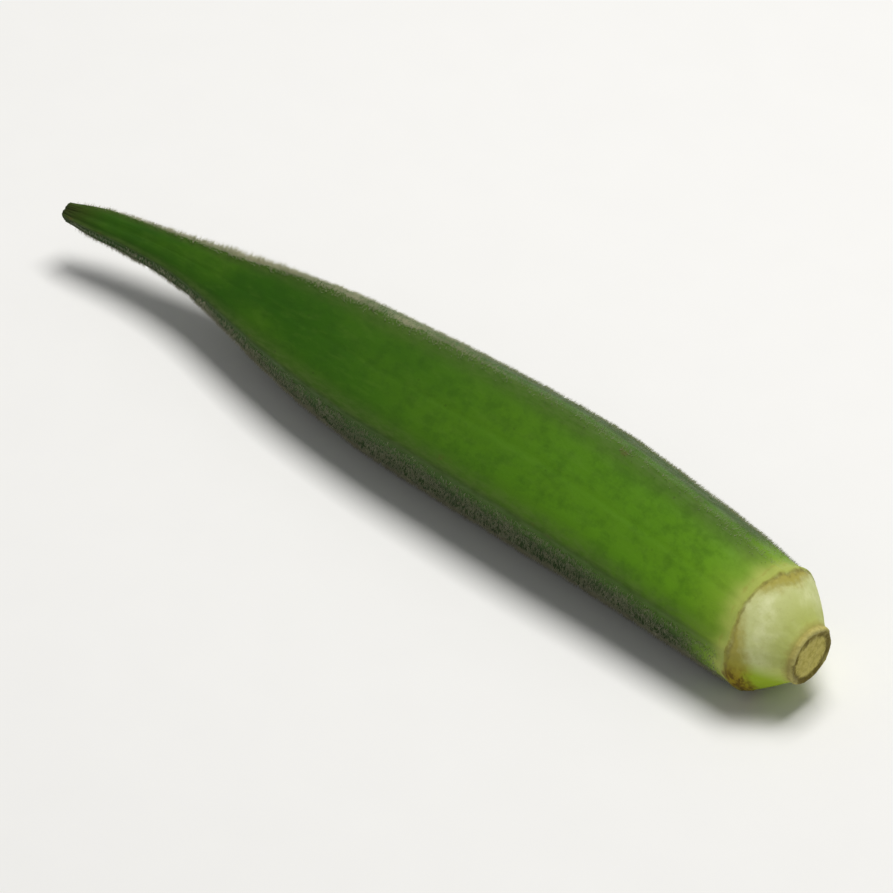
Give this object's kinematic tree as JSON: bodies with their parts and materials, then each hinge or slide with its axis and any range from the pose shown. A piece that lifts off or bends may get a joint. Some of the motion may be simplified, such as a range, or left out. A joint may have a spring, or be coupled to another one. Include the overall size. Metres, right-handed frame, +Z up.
{
  "type": "okra pod",
  "caption": "Picked okra pod lying on its side: a ridged green body that tapers to a blunt beak, with a pale dome and a short cut stalk at the thick end.",
  "frame": {"origin": "on the surface that the pod lies on, under the middle of the pod's bounding box", "axes": "+X along the pod, from the beak to the cut stalk; +Z up; +Y to the side that the pod bows towards"},
  "size_m": [0.108, 0.0178, 0.0166],
  "materials": {
    "pod_skin": "satin"
  },
  "bodies": {
    "root": {"okra_pod": "pod_skin"}
  },
  "joints": []
}
